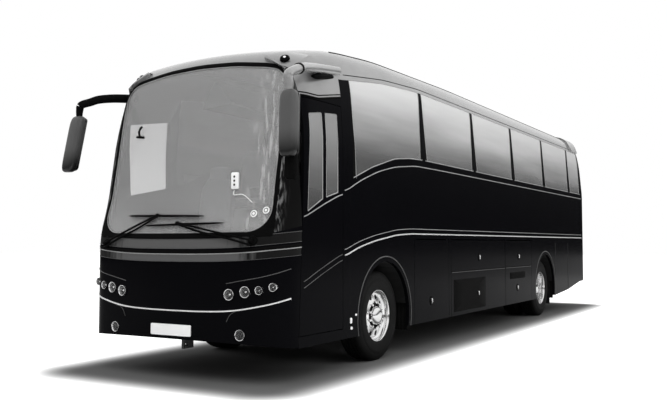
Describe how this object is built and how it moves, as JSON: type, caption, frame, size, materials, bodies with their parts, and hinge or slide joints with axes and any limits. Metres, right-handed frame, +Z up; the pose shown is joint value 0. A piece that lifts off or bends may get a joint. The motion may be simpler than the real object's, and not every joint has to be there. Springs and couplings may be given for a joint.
{
  "type": "coach",
  "caption": "High-floor touring coach with a raked bowed nose, tinted side windows, under-floor luggage bays, a swinging entrance door and steered front wheels",
  "frame": {"origin": "on the ground below the middle of the whole coach, mirrors included", "axes": "+Z up, +Y towards the tail, +X towards the coach's own left side, where the entrance door is"},
  "size_m": [3.16, 12.208, 3.65],
  "materials": {
    "body_paint": "gloss black paint",
    "tinted_glass": "grey tinted safety glass",
    "bright_trim": "bright polished moulding",
    "floor_covering": "ribbed dark grey floor covering",
    "bay_sheet": "plain alloy sheet",
    "housing_sheet": "black moulded liner",
    "frame_paint": "dark grey chassis paint",
    "engine_metal": "dark cast metal",
    "tyre_rubber": "black rubber",
    "rim_alloy": "polished alloy",
    "mechanism": "brushed steel",
    "cab_plastic": "dark moulded plastic",
    "wheel_grip": "dark soft grip",
    "seat_cloth": "dark patterned moquette",
    "rack_plastic": "light grey moulded lining",
    "lamp_lens": "clear lamp lens",
    "tail_lens": "red lamp lens",
    "wiper_black": "satin black",
    "mirror_case": "gloss black case"
  },
  "bodies": {
    "coach": {"bay_floor": "bay_sheet", "brightwork": "bright_trim", "bumpers": "body_paint", "chassis_rails": "frame_paint", "dashboard": "cab_plastic", "driver_seat": "seat_cloth", "engine_unit": "engine_metal", "entry_steps": "floor_covering", "front_axle": "frame_paint", "front_panel": "body_paint", "headlamps": "lamp_lens", "left_skirt": "body_paint", "left_wall": "body_paint", "mirrors": "mirror_case", "parcel_racks": "rack_plastic", "passenger_seats": "seat_cloth", "rear_axle": "frame_paint", "rear_panel": "body_paint", "rear_window": "tinted_glass", "right_skirt": "body_paint", "right_wall": "body_paint", "roof_panel": "body_paint", "saloon_floor": "floor_covering", "side_glass_left": "tinted_glass", "side_glass_right": "tinted_glass", "steering_column": "cab_plastic", "tail_lamps": "tail_lens", "wheel_housings": "housing_sheet", "windscreen": "tinted_glass", "wipers": "wiper_black"},
    "left_knuckle": {"left_knuckle": "frame_paint"},
    "right_knuckle": {"right_knuckle": "frame_paint"},
    "front_left_wheel": {"front_left_tyre": "tyre_rubber", "front_left_rim": "rim_alloy"},
    "front_right_wheel": {"front_right_tyre": "tyre_rubber", "front_right_rim": "rim_alloy"},
    "rear_left_wheels": {"rear_left_tyres": "tyre_rubber", "rear_left_rims": "rim_alloy"},
    "rear_right_wheels": {"rear_right_tyres": "tyre_rubber", "rear_right_rims": "rim_alloy"},
    "steering_wheel": {"steering_wheel": "wheel_grip"},
    "door_arms": {"door_arms": "mechanism"},
    "entrance_door": {"door_leaf": "body_paint", "door_glass": "tinted_glass"},
    "engine_lid": {"engine_lid": "body_paint"},
    "front_roof_hatch": {"front_roof_hatch": "body_paint"},
    "rear_roof_hatch": {"rear_roof_hatch": "body_paint"},
    "left_locker_1": {"left_locker_flap_1": "body_paint"},
    "left_locker_2": {"left_locker_flap_2": "body_paint"},
    "left_locker_3": {"left_locker_flap_3": "body_paint"},
    "right_locker_1": {"right_locker_flap_1": "body_paint"},
    "right_locker_2": {"right_locker_flap_2": "body_paint"},
    "right_locker_3": {"right_locker_flap_3": "body_paint"}
  },
  "joints": [
    {"name": "steer_left", "type": "hinge", "parent": "coach", "child": "left_knuckle", "pos_m": [0.88, -3.672, 0.515], "axis": [0, 0, 1], "range_deg": [-40, 40]},
    {"name": "steer_right", "type": "hinge", "parent": "coach", "child": "right_knuckle", "pos_m": [-0.88, -3.672, 0.515], "axis": [0, 0, 1], "range_deg": [-40, 40]},
    {"name": "steering_wheel_turn", "type": "hinge", "parent": "coach", "child": "steering_wheel", "pos_m": [-0.62, -5.11, 1.56], "axis": [0, 0.4226, 0.9063], "range_deg": [-520, 520]},
    {"name": "front_left_roll", "type": "hinge", "parent": "left_knuckle", "child": "front_left_wheel", "pos_m": [1, -3.672, 0.515], "axis": [1, 0, 0], "continuous": true},
    {"name": "front_right_roll", "type": "hinge", "parent": "right_knuckle", "child": "front_right_wheel", "pos_m": [-1, -3.672, 0.515], "axis": [1, 0, 0], "continuous": true},
    {"name": "rear_left_roll", "type": "hinge", "parent": "coach", "child": "rear_left_wheels", "pos_m": [0.9, 2.971, 0.515], "axis": [1, 0, 0], "continuous": true},
    {"name": "rear_right_roll", "type": "hinge", "parent": "coach", "child": "rear_right_wheels", "pos_m": [-0.9, 2.971, 0.515], "axis": [1, 0, 0], "continuous": true},
    {"name": "door_arm_swing", "type": "hinge", "parent": "coach", "child": "door_arms", "pos_m": [1.12, -4.73, 1.5], "axis": [0, 0, 1], "range_deg": [0, 150]},
    {"name": "door_leaf_turn", "type": "hinge", "parent": "door_arms", "child": "entrance_door", "pos_m": [1.12, -5.191, 1.5], "axis": [0, 0, 1], "range_deg": [-150, 0]},
    {"name": "engine_lid_lift", "type": "hinge", "parent": "coach", "child": "engine_lid", "pos_m": [0, 6.092, 1.62], "axis": [1, 0, 0], "range_deg": [0, 75]},
    {"name": "front_hatch_lift", "type": "hinge", "parent": "coach", "child": "front_roof_hatch", "pos_m": [0, -1.184, 3.63], "axis": [1, 0, 0], "range_deg": [0, 30]},
    {"name": "rear_hatch_lift", "type": "hinge", "parent": "coach", "child": "rear_roof_hatch", "pos_m": [0, 2.916, 3.63], "axis": [1, 0, 0], "range_deg": [0, 30]},
    {"name": "left_locker_1_lift", "type": "hinge", "parent": "coach", "child": "left_locker_1", "pos_m": [1.267, -2.325, 1.395], "axis": [0, -1, 0], "range_deg": [0, 85]},
    {"name": "left_locker_2_lift", "type": "hinge", "parent": "coach", "child": "left_locker_2", "pos_m": [1.267, -0.5375, 1.395], "axis": [0, -1, 0], "range_deg": [0, 85]},
    {"name": "left_locker_3_lift", "type": "hinge", "parent": "coach", "child": "left_locker_3", "pos_m": [1.267, 1.36, 1.395], "axis": [0, -1, 0], "range_deg": [0, 85]},
    {"name": "right_locker_1_lift", "type": "hinge", "parent": "coach", "child": "right_locker_1", "pos_m": [-1.267, -2.325, 1.395], "axis": [0, 1, 0], "range_deg": [0, 85]},
    {"name": "right_locker_2_lift", "type": "hinge", "parent": "coach", "child": "right_locker_2", "pos_m": [-1.267, -0.5375, 1.395], "axis": [0, 1, 0], "range_deg": [0, 85]},
    {"name": "right_locker_3_lift", "type": "hinge", "parent": "coach", "child": "right_locker_3", "pos_m": [-1.267, 1.36, 1.395], "axis": [0, 1, 0], "range_deg": [0, 85]}
  ],
  "couplings": [
    {"joint": "steer_right", "follows": "steer_left", "ratio": 1},
    {"joint": "steering_wheel_turn", "follows": "steer_left", "ratio": 13},
    {"joint": "door_leaf_turn", "follows": "door_arm_swing", "ratio": -1}
  ]
}
